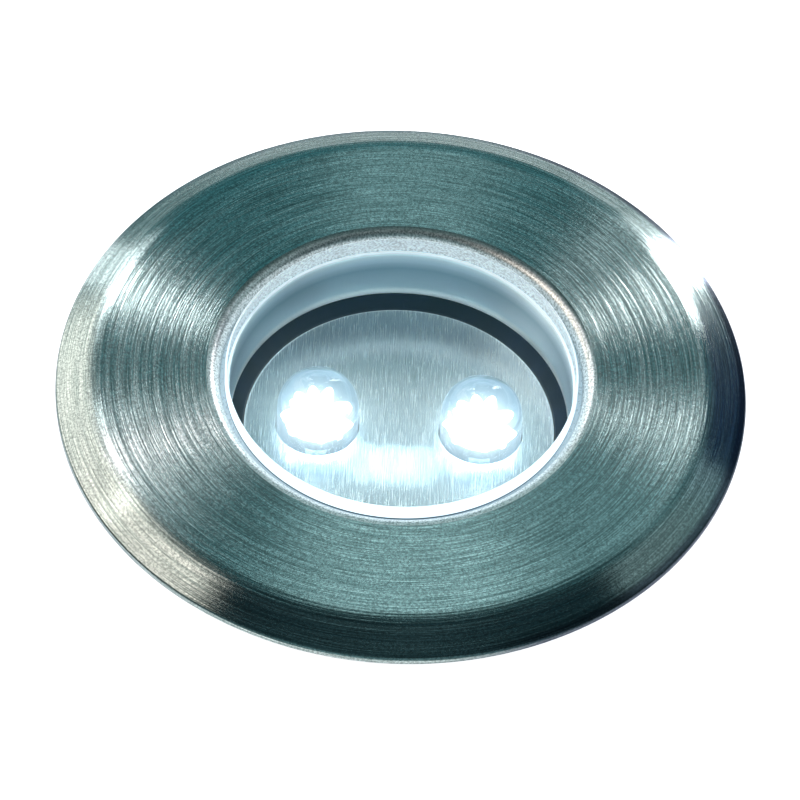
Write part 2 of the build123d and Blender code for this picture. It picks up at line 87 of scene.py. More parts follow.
# %% Read the main sizes from the frame
MM = 0.001
bezel_low, bezel_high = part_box("bezel")
lens_low, lens_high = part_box("lens")
led_low, led_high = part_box("led_right")
foam_low, foam_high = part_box("flange_gasket")
flange_radius = bezel_high.x
flange_top = bezel_high.z
lens_radius = lens_high.x
plate_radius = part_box("faceplate")[1].x
recess_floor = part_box("faceplate_gasket")[1].z
print("flange radius", round(flange_radius / MM, 2), "mm, glass radius", round(lens_radius / MM, 2), "mm")

# %% [markdown]
# ## Camera
#
# The camera looks down at the light from about fifty degrees above the deck, from not far away, and is
# rolled a few degrees. The lens is long, because the light is small and fills the frame. The shift puts the
# middle of the flange where it belongs without turning the camera.

# %% Set up the camera
camera_distance = 0.336
camera_elevation = radians(50.037)
camera_roll = radians(3.052)
camera_lens = 248.54
origin_right_px = 0.99
origin_up_px = 11.14
image_px = 800

camera_data = bpy.data.cameras.new("camera")
camera = bpy.data.objects.new("camera", camera_data)
bpy.context.scene.collection.objects.link(camera)
bpy.context.scene.camera = camera
tilt = Matrix.Rotation(pi / 2 - camera_elevation, 4, "X") @ Matrix.Rotation(camera_roll, 4, "Z")
back = Vector((0, -cos(camera_elevation), sin(camera_elevation)))
camera.matrix_world = Matrix.Translation(back * camera_distance) @ tilt
camera_data.lens = camera_lens
camera_data.shift_x = -origin_right_px / image_px
camera_data.shift_y = -origin_up_px / image_px
camera_data.clip_start = camera_distance / 10
print("camera at", [round(v, 4) for v in camera.location], "lens", camera_lens, "mm")

# %% [markdown]
# ## Helpers for modelling
#
# A turned piece is made as it is on a lathe, from its section. A circle is drawn at the first corner of the
# section and pulled from corner to corner until it is back where it began. Sharp corners are then selected
# by their radius and height and rounded with a bevel.

# %% Choose what every piece starts from
circle_steps = 256
weld = 0.001 * MM


def only(piece):
    """Selects one piece and nothing else, and makes it active."""
    bpy.ops.object.select_all(action="DESELECT")
    bpy.context.view_layer.objects.active = piece
    piece.select_set(True)


# %% Pull a circle along a section
def turned_piece(name, section):
    """Makes a closed ring from the corners of its section, each a radius and a height."""
    bpy.ops.object.select_all(action="DESELECT")
    radius, height = section[0]
    bpy.ops.mesh.primitive_circle_add(vertices=circle_steps, radius=radius, location=(0, 0, height))
    piece = bpy.context.active_object
    piece.name = name
    bpy.ops.object.transform_apply(location=True)
    bpy.ops.object.mode_set(mode="EDIT")
    bpy.ops.mesh.select_all(action="SELECT")
    for next_radius, next_height in [*section[1:], section[0]]:
        size = next_radius / radius
        bpy.ops.mesh.extrude_edges_move(TRANSFORM_OT_translate={"value": (0, 0, next_height - height)})
        bpy.ops.transform.resize(value=(size, size, 1), center_override=(0, 0, next_height))
        radius, height = next_radius, next_height
    bpy.ops.mesh.select_all(action="SELECT")
    bpy.ops.mesh.remove_doubles(threshold=weld)
    bpy.ops.mesh.normals_make_consistent(inside=False)
    bpy.ops.object.mode_set(mode="OBJECT")
    return piece


# %% Round the edges at a corner of the section
def round_corner(piece, corner, width, segments):
    """Bevels the edges that run round a piece at one radius and height. Width is taken along the faces."""
    near = 0.02 * MM
    radius, height = corner
    only(piece)
    bpy.ops.object.mode_set(mode="EDIT")
    bpy.ops.mesh.select_mode(type="EDGE")
    bpy.ops.mesh.select_all(action="DESELECT")
    mesh = bmesh.from_edit_mesh(piece.data)
    for edge in mesh.edges:
        edge.select = all(
            abs(hypot(vert.co.x, vert.co.y) - radius) < near and abs(vert.co.z - height) < near
            for vert in edge.verts
        )
    bmesh.update_edit_mesh(piece.data)
    bpy.ops.mesh.bevel(offset=width, segments=segments, profile=0.5, affect="EDGES", clamp_overlap=True)
    bpy.ops.object.mode_set(mode="OBJECT")


# %% Finish a piece and seat it in the frame
def seat(piece, material, slot, *replaced, body="lamp", smooth=30):
    """Gives a piece its material and smooth shading, and puts it in the place of its CAD nodes.

    A piece with no body is attached to no body."""
    only(piece)
    bpy.ops.object.shade_smooth_by_angle(angle=radians(smooth))
    bpy.ops.object.modifier_add(type="WEIGHTED_NORMAL")
    piece.modifiers[-1].keep_sharp = True
    bpy.ops.object.modifier_apply(modifier=piece.modifiers[-1].name)
    piece.data.materials.clear()
    piece.data.materials.append(material)
    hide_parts(*replaced)
    if body:
        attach(piece, body)
    print(piece.name, "stands for", ", ".join(replaced), "with", len(piece.data.polygons), "faces")


# %% [markdown]
# ## Helpers for materials
#
# A material is a net of small nodes. Each helper here adds one kind of node, feeds it and gives back what
# comes out of it, so that a material reads like a sum. The patterns start from Object coordinates, which
# are metres from the light's origin, so a pattern has its real size and moves with its piece.

# %% Start a material
def new_material(name, **values):
    """Makes a material with one principled shader and sets its sockets."""
    material = bpy.data.materials.new(name)
    material.use_nodes = True
    shader = material.node_tree.nodes["Principled BSDF"]
    for socket, value in values.items():
        shader.inputs[socket.replace("_", " ")].default_value = value
    return material, material.node_tree.nodes, material.node_tree.links, shader


# %% Feed a socket, and work with numbers and vectors
def feed(links, source, socket):
    """Links a source to a socket, or gives the socket a plain number, vector or colour."""
    if isinstance(source, bpy.types.NodeSocket):
        links.new(source, socket)
    elif socket.type == "RGBA":
        socket.default_value = (*source, 1)
    else:
        socket.default_value = source


def maths(nodes, links, operation, *values):
    """One step of maths on numbers."""
    node = nodes.new("ShaderNodeMath")
    node.operation = operation
    for value, socket in zip(values, node.inputs):
        feed(links, value, socket)
    return node.outputs["Value"]


def vector_maths(nodes, links, operation, *values):
    """One step of maths on vectors. A length or a dot product comes out as a number."""
    node = nodes.new("ShaderNodeVectorMath")
    node.operation = operation
    for value, socket in zip(values, node.inputs):
        feed(links, value, socket)
    return node.outputs["Value" if operation in ("LENGTH", "DOT_PRODUCT") else "Vector"]


def level(nodes, links, value, start, end, low=0.0, high=1.0):
    """Maps start to end onto low to high, and holds both ends."""
    node = nodes.new("ShaderNodeMapRange")
    for socket, number in (("From Min", start), ("From Max", end), ("To Min", low), ("To Max", high)):
        node.inputs[socket].default_value = number
    links.new(value, node.inputs["Value"])
    return node.outputs["Result"]


# %% Places on a piece
def object_place(nodes):
    """A point's place, in metres from the light's origin."""
    return nodes.new("ShaderNodeTexCoord").outputs["Object"]


def parts_of(nodes, links, vector):
    """The X, Y and Z of a vector, each on its own."""
    node = nodes.new("ShaderNodeSeparateXYZ")
    links.new(vector, node.inputs["Vector"])
    return node.outputs


def flat_place(nodes, links, place):
    """A place with its height left out."""
    return vector_maths(nodes, links, "MULTIPLY", place, (1, 1, 0))


def axis_distance(nodes, links, place):
    """How far a place lies from the light's axis."""
    return vector_maths(nodes, links, "LENGTH", flat_place(nodes, links, place))


def stretched(nodes, links, place, marks):
    """A place for noise that draws so many marks in a metre along X, Y and Z."""
    node = nodes.new("ShaderNodeMapping")
    node.inputs["Scale"].default_value = marks
    links.new(place, node.inputs["Vector"])
    return node.outputs["Vector"]


def lathe_vector(nodes, links, place, rings, along):
    """A vector for noise with so many rings in a metre outwards, and little change along a ring.

    A ring is told by radius less height, so that the rings go on evenly down the sloping shoulder."""
    flat = flat_place(nodes, links, place)
    radius = vector_maths(nodes, links, "LENGTH", flat)
    height = parts_of(nodes, links, place)["Z"]
    lifted = nodes.new("ShaderNodeCombineXYZ")
    outwards = maths(nodes, links, "SUBTRACT", radius, height)
    links.new(maths(nodes, links, "MULTIPLY", outwards, rings), lifted.inputs["Z"])
    direction = vector_maths(nodes, links, "NORMALIZE", flat)
    return vector_maths(nodes, links, "MULTIPLY_ADD", direction, (along, along, 0), lifted.outputs["Vector"])


# %% Noise, ramp, mix and bump
def noise(nodes, links, vector, scale=1.0, detail=2.0, roughness=0.5):
    """Noise on a vector: its grey value."""
    node = nodes.new("ShaderNodeTexNoise")
    node.inputs["Scale"].default_value = scale
    node.inputs["Detail"].default_value = detail
    node.inputs["Roughness"].default_value = roughness
    links.new(vector, node.inputs["Vector"])
    return node.outputs["Fac"]


def noise_level(nodes, links, value, low, high):
    """Maps noise, which lies between about 0.3 and 0.7, onto low to high."""
    return level(nodes, links, value, 0.3, 0.7, low, high)


def ramp(nodes, links, value, *stops):
    """A colour ramp over a grey value. A stop is a position and a colour."""
    node = nodes.new("ShaderNodeValToRGB")
    for index, (position, colour) in enumerate(stops):
        element = node.color_ramp.elements[index] if index < 2 else node.color_ramp.elements.new(position)
        element.position = position
        element.color = (*colour, 1)
    links.new(value, node.inputs["Fac"])
    return node.outputs["Color"]


def mixed(nodes, links, first, second, share=1.0, blend="MULTIPLY"):
    """Multiplies one colour by another, fully or by a share, or blends the two in another way."""
    node = nodes.new("ShaderNodeMix")
    node.data_type = "RGBA"
    node.blend_type = blend
    feed(links, share, node.inputs["Factor"])
    first_socket, second_socket = [socket for socket in node.inputs if socket.type == "RGBA"]
    feed(links, first, first_socket)
    feed(links, second, second_socket)
    return next(socket for socket in node.outputs if socket.type == "RGBA")


def bump(nodes, links, height, distance, shader, under=None):
    """Lays a bump on a shader, over another bump if one is given."""
    node = nodes.new("ShaderNodeBump")
    node.inputs["Distance"].default_value = distance
    node.inputs["Strength"].default_value = 1.0
    links.new(height, node.inputs["Height"])
    if under:
        links.new(under, node.inputs["Normal"])
    links.new(node.outputs["Normal"], shader.inputs["Normal"])
    return node.outputs["Normal"]


def turn_gloss(nodes, links, shader, axis):
    """Lets a shader's stretched gloss run round an axis."""
    tangent = nodes.new("ShaderNodeTangent")
    tangent.direction_type = "RADIAL"
    tangent.axis = axis
    links.new(tangent.outputs["Tangent"], shader.inputs["Tangent"])


def show_both(nodes, links, share, first, second):
    """Lets a material show its second shader by the share, and its first for the rest."""
    mix = nodes.new("ShaderNodeMixShader")
    for source, socket in zip((share, first, second), mix.inputs):
        links.new(source, socket)
    links.new(mix.outputs["Shader"], nodes["Material Output"].inputs["Surface"])


# %% [markdown]
# ## Finish of the turned steel
#
# The flange was brushed while it turned, so its scratches are circles round the axis. Two things make that
# look. The gloss is stretched across the scratches, which draws each lamp out into a bright fan. The bump
# and the colour vary with the radius but hardly along a circle, which breaks the fan into fine arcs. The
# pattern is worked out from the radius and the direction from the axis, so it has no seam. A grain like fine
# sand lies over all of it. On the right the rim of the flange has painted shade: its colour and the tint of
# its gloss are darker there, so that the bright fan ends there.

# %% Turned and brushed steel
def turned_steel():
    """Steel with fine circular scratches, coarser and finer rings, a stretched gloss, and painted shade on the
    right of its rim.
    """
    material, nodes, links, shader = new_material(
        "turned_steel", Metallic=1.0, Anisotropic=0.93, Anisotropic_Rotation=0.25
    )
    turn_gloss(nodes, links, shader, "Z")
    place = object_place(nodes)
    fine_rings = lathe_vector(nodes, links, place, rings=17000, along=4.0)
    coarse_rings = lathe_vector(nodes, links, place, rings=8500, along=0.7)
    fine = noise(nodes, links, fine_rings, detail=1, roughness=0.6)
    coarse = noise(nodes, links, coarse_rings, detail=1, roughness=0.6)
    sand = noise(nodes, links, place, scale=7500, detail=2, roughness=0.7)
    # The scratch colours are tinted teal as a painted reflection of the teal room; their light and dark lines
    # are the real scratches.
    scratches = ramp(nodes, links, fine, (0.34, (0.28, 0.36, 0.355)), (0.66, (0.66, 0.74, 0.735)))
    grains = ramp(nodes, links, sand, (0.34, (0.48, 0.50, 0.50)), (0.62, (1, 1, 1)))
    # Painted shade: on the right the rim gets a darker colour and a darker tint of its gloss, so that the
    # lamp's fan ends there.
    rim_start, rim_end = flange_radius - 0.62 * MM, flange_radius - 0.30 * MM
    at_rim = level(nodes, links, axis_distance(nodes, links, place), rim_start, rim_end)
    on_right = level(nodes, links, parts_of(nodes, links, place)["X"], 3 * MM, 9 * MM)
    rim_painted_shade = ramp(nodes, links, at_rim, (0, (1, 1, 1)), (1, (0.34, 0.33, 0.40)))
    rim_painted_gloss_shade = ramp(nodes, links, at_rim, (0, (1, 1, 1)), (1, (0.60, 0.58, 0.66)))
    tone = mixed(nodes, links, mixed(nodes, links, scratches, grains), rim_painted_shade, on_right)
    links.new(tone, shader.inputs["Base Color"])
    links.new(rim_painted_gloss_shade, shader.inputs["Specular Tint"])
    links.new(noise_level(nodes, links, coarse, 0.15, 0.24), shader.inputs["Roughness"])
    rings = bump(nodes, links, coarse, 0.013 * MM, shader)
    lines = bump(nodes, links, fine, 0.005 * MM, shader, under=rings)
    bump(nodes, links, sand, 0.0015 * MM, shader, under=lines)
    return material


steel = turned_steel()
print("material:", steel.name)

# %% [markdown]
# ## Finish of the polished steel
#
# The lip round the glass and the wall of the recess were polished after turning. The wall mirrors the lit
# recess in soft bands that run round at one height, and these are painted reflection in its colour, which
# follows the height: bright at the foot, darker half way up and bright again under the glass, where a
# painted glowing line stands for the light of the LEDs. The polish left a grain on the lip. On the far side
# a thin dark line of painted shade parts the lip from the brushed face.

# %% Polished steel
def polished_steel():
    """The same steel after polishing: smoother, brighter, with painted reflection bands by height, a painted
    glowing line and painted shade on the far side, and a fine grain on the lip.
    """
    material, nodes, links, shader = new_material("polished_steel", Metallic=0.85, Emission_Strength=0.5)
    place = object_place(nodes)
    parts = parts_of(nodes, links, place)
    grain = noise(nodes, links, place, scale=9000, detail=2)
    height = level(nodes, links, parts["Z"], -4 * MM, 1.75 * MM)
    far = level(nodes, links, parts["Y"], 0, 6 * MM)
    # Painted reflection: colour bands by height stand for the lit recess mirrored in the wall.
    painted_reflection_bands = ramp(
        nodes,
        links,
        height,
        (0.068, (0.98, 1.0, 1.0)),
        (0.127, (0.62, 0.74, 0.80)),
        (0.41, (0.30, 0.41, 0.50)),
        (0.55, (0.60, 0.71, 0.77)),
        (0.66, (0.98, 1.0, 1.0)),
        (0.95, (0.80, 0.84, 0.84)),
    )
    # Painted light: this emission draws a glowing line just under the glass, for the light of the LEDs.
    painted_glow_line = ramp(
        nodes,
        links,
        height,
        (0.60, (0, 0, 0)),
        (0.648, (0.50, 0.62, 0.68)),
        (0.656, (0.50, 0.62, 0.68)),
        (0.664, (0, 0, 0)),
    )
    # Painted shade: a thin dark line at the outer edge of the lip, laid on the far side only.
    painted_shade_line = ramp(nodes, links, height, (0.954, (1, 1, 1)), (0.962, (0.13, 0.17, 0.17)))
    on_lip = ramp(nodes, links, height, (0.74, (0, 0, 0)), (0.82, (1, 1, 1)))
    sandy = ramp(nodes, links, grain, (0.36, (0.40, 0.42, 0.42)), (0.60, (1, 1, 1)))
    tone = mixed(nodes, links, mixed(nodes, links, painted_reflection_bands, painted_shade_line, far), sandy, on_lip)
    links.new(tone, shader.inputs["Base Color"])
    links.new(painted_glow_line, shader.inputs["Emission Color"])
    links.new(noise_level(nodes, links, grain, 0.28, 0.34), shader.inputs["Roughness"])
    return material


lip_steel = polished_steel()
print("material:", lip_steel.name)

# %% [markdown]
# ## Bezel
#
# The bezel is one turned piece: the flange with its sloping shoulder, the rounded lip round the glass, the
# polished wall of the recess, and under the flange the groove for the foam, the spigot and the barrel. The
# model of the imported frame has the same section, but as flat facets, and a mirror-like metal shows each of
# them. So the section is pulled round again in fine steps.

# %% Section of the bezel
bead_width = 0.25 * MM
recess_ledge = 0.3 * MM
recess_taper = 0.15 * MM
shoulder_width = 2.2 * MM
rim_height = 0.4 * MM
foam_clearance = 0.05 * MM
foam_width = 4.1 * MM
spigot_step = 2.5 * MM
spigot_depth = 2.5 * MM
barrel_wall = 1.0 * MM
clamp_ledge = 1.0 * MM

pocket_radius = lens_radius + bead_width
wall_top_radius = lens_radius - recess_ledge
wall_foot_radius = wall_top_radius - recess_taper
bore_radius = wall_foot_radius + clamp_ledge
barrel_radius = bore_radius + barrel_wall
spigot_radius = barrel_radius + spigot_step
foam_outer = foam_high.x + foam_clearance
foam_inner = foam_outer - foam_width
shoulder_radius = flange_radius - shoulder_width

bezel = turned_piece(
    "bezel_turned",
    [
        (pocket_radius, lens_low.z),
        (pocket_radius, flange_top),
        (shoulder_radius, flange_top),
        (flange_radius, rim_height),
        (flange_radius, 0),
        (foam_outer, 0),
        (foam_outer, foam_high.z),
        (foam_inner, foam_high.z),
        (foam_inner, 0),
        (spigot_radius, 0),
        (spigot_radius, -spigot_depth),
        (barrel_radius, -spigot_depth),
        (barrel_radius, bezel_low.z),
        (bore_radius, bezel_low.z),
        (bore_radius, recess_floor),
        (wall_foot_radius, recess_floor),
        (wall_top_radius, lens_low.z),
    ],
)

# %% Round its corners, from the lip to the foot of the barrel
lip_round = 0.85 * MM
shoulder_round = 2.4 * MM
shoulder_turn = atan2(flange_top - rim_height, shoulder_width)
for corner, width, segments in (
    ((pocket_radius, flange_top), lip_round, 10),
    ((shoulder_radius, flange_top), shoulder_round * tan(shoulder_turn / 2), 8),
    ((flange_radius, rim_height), 0.12 * MM, 4),
    ((flange_radius, 0), 0.08 * MM, 2),
    ((wall_foot_radius, recess_floor), 0.15 * MM, 3),
    ((spigot_radius, -spigot_depth), 0.25 * MM, 3),
    ((barrel_radius, bezel_low.z), 0.2 * MM, 3),
):
    round_corner(bezel, corner, width, segments)
seat(bezel, steel, "turned_steel", "bezel")

# %% Polish the lip and the wall of the recess
bezel.data.materials.append(lip_steel)
polished_radius = pocket_radius + lip_round
for polygon in bezel.data.polygons:
    reach = hypot(polygon.center.x, polygon.center.y)
    if reach < polished_radius and polygon.center.z > recess_floor + weld:
        polygon.material_index = 1
print("polished faces:", sum(polygon.material_index for polygon in bezel.data.polygons))

# %% [markdown]
# ## Glass disc
#
# The disc is plain clear glass with its edges broken. A real glass shader bends what lies below it. Lamps
# can't find their way through such a shader, so for shadow rays alone it is mixed with a transparent one.
# The edge of the disc is ground, not polished. Its colour and glow are painted light: a bright glowing ring
# that stands for the LED light which the glass carries to the edge, with painted shade at its foot for the
# shade of the seam. Towards the far side the ring is duller, with painted shade, and grainy. It is the same
# material, told apart by its radius.

# %% Glass that lets lamps through
def clear_material(name, colour, ior, painted_haze_glow=0.0):
    """A clear glass or resin that bends light and casts only a faint shadow. Haze is a painted glow, which
    makes it glow a little.
    """
    material, nodes, links, shader = new_material(
        name, Base_Color=(*colour, 1), Transmission_Weight=1.0, Roughness=0.0, IOR=ior,
        Emission_Color=(0.50, 0.76, 1.0, 1), Emission_Strength=painted_haze_glow,
    )
    passing = nodes.new("ShaderNodeBsdfTransparent")
    passing.inputs["Color"].default_value = (*colour, 1)
    shadow_ray = nodes.new("ShaderNodeLightPath").outputs["Is Shadow Ray"]
    show_both(nodes, links, shadow_ray, shader.outputs["BSDF"], passing.outputs["BSDF"])
    return material


def ground_edge_painted_glow(material, radius):
    """Lays a ground surface with a painted glow, and painted shade at its foot, on all that lies further from
    the axis than the radius.
    """
    nodes, links = material.node_tree.nodes, material.node_tree.links
    clear = nodes["Material Output"].inputs["Surface"].links[0].from_socket
    place = object_place(nodes)
    parts = parts_of(nodes, links, place)
    rise = maths(nodes, links, "MULTIPLY", parts["Z"], 1 / (2 * MM))
    # Painted light and shade: the ring glows bright and pale above, with a painted dark shade at its foot.
    ring = ramp(
        nodes,
        links,
        rise,
        (0.345, (0.25, 0.34, 0.40)),
        (0.35, (0.02, 0.04, 0.06)),
        (0.40, (0.02, 0.04, 0.06)),
        (0.42, (0.80, 0.93, 1.0)),
    )
    grain = noise(nodes, links, place, scale=6500, detail=2)
    # Painted shade with real grain: towards the far side the glow turns duller and grainy.
    far_painted_shade_grain = ramp(nodes, links, grain, (0.36, (0.25, 0.29, 0.31)), (0.62, (0.43, 0.50, 0.53)))
    far = level(nodes, links, parts["Y"], -3 * MM, 7 * MM)
    tone = mixed(nodes, links, ring, far_painted_shade_grain, far, blend="MIX")
    ground = nodes.new("ShaderNodeBsdfPrincipled")
    ground.inputs["Roughness"].default_value = 0.5
    ground.inputs["Emission Strength"].default_value = 1.1
    links.new(tone, ground.inputs["Base Color"])
    links.new(tone, ground.inputs["Emission Color"])
    outside = maths(nodes, links, "GREATER_THAN", axis_distance(nodes, links, place), radius)
    show_both(nodes, links, outside, clear, ground.outputs["BSDF"])


# %% Disc with broken edges
bead_gap = 0.03 * MM
seat_gap = 0.01 * MM
ground_width = 0.125 * MM
lens_chamfer = 0.12 * MM
hub = 0.001 * MM
disc_radius = lens_radius - bead_gap
lens_foot = lens_low.z + seat_gap

glass = clear_material("clear_glass", (0.97, 0.99, 0.99), 1.5)
ground_edge_painted_glow(glass, disc_radius - ground_width)
lens = turned_piece(
    "lens_disc",
    [(hub, lens_foot), (disc_radius, lens_foot), (disc_radius, lens_high.z), (hub, lens_high.z)],
)
round_corner(lens, (disc_radius, lens_high.z), lens_chamfer, 2)
round_corner(lens, (disc_radius, lens_foot), lens_chamfer, 1)
seat(lens, glass, "clear_glass", "lens")

# %% [markdown]
# ## LEDs
#
# Each LED is a clear resin body with a round dome, standing on a wider foot that has one flat. A sphere is
# cut in half for the dome, its open edge is pulled down and widened for the foot, and a last cut makes the
# flat. The resin has a faint painted glow all through, which stands for the little of the chip's light that it
# scatters.

# %% Clear body of one LED
led_radius = 2.5 * MM
led_foot_height = 1.0 * MM


def led_body(name, node):
    """A domed cylinder on a foot, at the place of its CAD node."""
    low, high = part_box(node)
    middle = (low.x + high.x) / 2
    foot_radius = (high.x - low.x) / 2
    foot_top = low.z + led_foot_height
    dome_height = high.z - led_radius
    bpy.ops.object.select_all(action="DESELECT")
    bpy.ops.mesh.primitive_uv_sphere_add(
        segments=96, ring_count=64, radius=led_radius, location=(middle, 0, dome_height)
    )
    piece = bpy.context.active_object
    piece.name = name
    bpy.ops.object.transform_apply(location=True)
    bpy.ops.object.mode_set(mode="EDIT")
    bpy.ops.mesh.select_all(action="SELECT")
    bpy.ops.mesh.bisect(plane_co=(0, 0, dome_height), plane_no=(0, 0, -1), clear_outer=True)
    bpy.ops.mesh.select_all(action="DESELECT")
    mesh = bmesh.from_edit_mesh(piece.data)
    for edge in mesh.edges:
        edge.select = edge.is_boundary
    bmesh.update_edit_mesh(piece.data)
    bpy.ops.mesh.extrude_edges_move(TRANSFORM_OT_translate={"value": (0, 0, foot_top - dome_height)})
    bpy.ops.mesh.extrude_edges_move()
    widen = foot_radius / led_radius
    bpy.ops.transform.resize(value=(widen, widen, 1), center_override=(middle, 0, foot_top))
    bpy.ops.mesh.extrude_edges_move(TRANSFORM_OT_translate={"value": (0, 0, low.z - foot_top)})
    bpy.ops.mesh.edge_face_add()
    bpy.ops.mesh.select_all(action="SELECT")
    bpy.ops.mesh.bisect(
        plane_co=(0, -led_radius, 0), plane_no=(0, -1, 0), clear_outer=True, use_fill=True,
        threshold=0.0001 * MM,
    )
    bpy.ops.mesh.select_all(action="SELECT")
    bpy.ops.mesh.normals_make_consistent(inside=False)
    bpy.ops.object.mode_set(mode="OBJECT")
    return piece


# The haze is a painted glow for the chip's light that the resin scatters.
resin = clear_material("clear_resin", (0.84, 0.93, 1.0), 1.53, painted_haze_glow=0.24)
for side in ("left", "right"):
    seat(led_body(f"led_body_{side}", f"led_{side}"), resin, "clear_epoxy", f"led_{side}")

# %% [markdown]
# ## Lit chips
#
# The light comes from yellow phosphor in a small bright cup. Lit, it is far brighter than all that surrounds
# it, so it burns out to a white ball with short blunt rays on all sides. The ball fills the cup and reaches
# up into the dome, which shows it larger than it is. Its rays are spread evenly, each a little over a third
# of a turn on from the last, as seeds sit in a flower.

# %% Burnt-out glow round one chip
glow_core = 0.78 * MM
glow_reach = 1.24 * MM
glow_drop = 3.25 * MM
ray_count = 34
ray_edge = 0.95
ray_bulge = 1.5
ray_turn = pi * (3 - 5**0.5)


def glow(name, body_node):
    """A ball of light in the dome of an LED, with rays spread evenly over it."""
    body_low, body_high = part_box(body_node)
    middle = Vector(((body_low.x + body_high.x) / 2, 0, body_high.z - glow_drop))
    bpy.ops.object.select_all(action="DESELECT")
    bpy.ops.mesh.primitive_ico_sphere_add(subdivisions=6, radius=glow_core, location=(0, 0, 0))
    piece = bpy.context.active_object
    piece.name = name
    rays = []
    for index in range(ray_count):
        rise = 1 - (2 * index + 1) / ray_count
        reach = (1 - rise**2) ** 0.5
        rays.append(Vector((reach * cos(index * ray_turn), reach * sin(index * ray_turn), rise)))
    for vert in piece.data.vertices:
        way = vert.co.normalized()
        nearest = max(way.dot(ray) for ray in rays)
        share = max(0.0, (nearest - ray_edge) / (1 - ray_edge))
        vert.co = way * (glow_core + (glow_reach - glow_core) * share**ray_bulge) + middle
    bpy.ops.object.mode_set(mode="EDIT")
    bpy.ops.mesh.select_all(action="SELECT")
    bpy.ops.mesh.normals_make_consistent(inside=False)
    bpy.ops.object.mode_set(mode="OBJECT")
    return piece


lit = new_material(
    "lit_phosphor", Base_Color=(0.98, 0.95, 0.75, 1), Roughness=0.5, Emission_Strength=11.0,
    Emission_Color=(0.80, 0.93, 1.0, 1),
)[0]
for side in ("left", "right"):
    seat(glow(f"led_glow_{side}", f"led_{side}"), lit, "phosphor", f"led_chip_{side}")

# %% [markdown]
# ## Faceplate
#
# The disc on the floor of the recess is bright metal, brushed in straight lines, and keeps its CAD shape.
# Its gloss is stretched across those lines. Its broken edge has a faint painted glow, which stands for the
# light of the LEDs that it catches.

# %% Straight brushed steel
def plate_steel():
    """Bright metal with fine straight scratches along Y and a painted glow on its edge."""
    material, nodes, links, shader = new_material(
        "faceplate_steel", Metallic=0.75, Anisotropic=0.75, Emission_Strength=0.8
    )
    turn_gloss(nodes, links, shader, "Y")
    place = object_place(nodes)
    lines = noise(nodes, links, stretched(nodes, links, place, (14000, 600, 1)), detail=3, roughness=0.65)
    brushed = ramp(nodes, links, lines, (0.3, (0.46, 0.54, 0.58)), (0.7, (0.70, 0.79, 0.83)))
    reach = maths(nodes, links, "DIVIDE", axis_distance(nodes, links, place), plate_radius)
    # Painted light: a thin glow at the plate's edge for the LED light that it catches.
    edge_painted_glow = ramp(nodes, links, reach, (0.985, (0, 0, 0)), (0.992, (0.62, 0.80, 0.86)))
    links.new(brushed, shader.inputs["Base Color"])
    links.new(edge_painted_glow, shader.inputs["Emission Color"])
    links.new(noise_level(nodes, links, lines, 0.20, 0.30), shader.inputs["Roughness"])
    bump(nodes, links, lines, 0.005 * MM, shader)
    return material


# %% [markdown]
# ## Finishes of the pieces that keep their CAD shape
#
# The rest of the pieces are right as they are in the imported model. They get a finish each, from two recipes:
# a moulded or rubbery one with a soft grain, and a metal one with fine scratches or plating. Each finish has
# its own colours, marks and gloss.

# %% Moulded plastic and rubber
def moulded(name, dark, pale, grain, roughness, depth, **values):
    """A plastic or rubber surface. Grain is its specks in a metre, depth the height of its bump."""
    material, nodes, links, shader = new_material(name, **values)
    place = object_place(nodes)
    specks = noise(nodes, links, place, scale=grain, detail=4, roughness=0.6)
    clouds = noise(nodes, links, place, scale=grain / 14, detail=2)
    links.new(ramp(nodes, links, clouds, (0.35, dark), (0.65, pale)), shader.inputs["Base Color"])
    gloss = noise_level(nodes, links, specks, roughness - 0.08, roughness + 0.08)
    links.new(gloss, shader.inputs["Roughness"])
    bump(nodes, links, specks, depth, shader)
    return material


# %% Scratched or plated metal
def bare_metal(name, dark, pale, marks, roughness, depth):
    """A metal surface with fine marks, so many in a metre along each axis."""
    material, nodes, links, shader = new_material(name, Metallic=1.0)
    place = stretched(nodes, links, object_place(nodes), marks)
    worn = noise(nodes, links, place, detail=4, roughness=0.6)
    links.new(ramp(nodes, links, worn, (0.38, dark), (0.62, pale)), shader.inputs["Base Color"])
    gloss = noise_level(nodes, links, worn, roughness - 0.07, roughness + 0.07)
    links.new(gloss, shader.inputs["Roughness"])
    bump(nodes, links, worn, depth, shader)
    return material


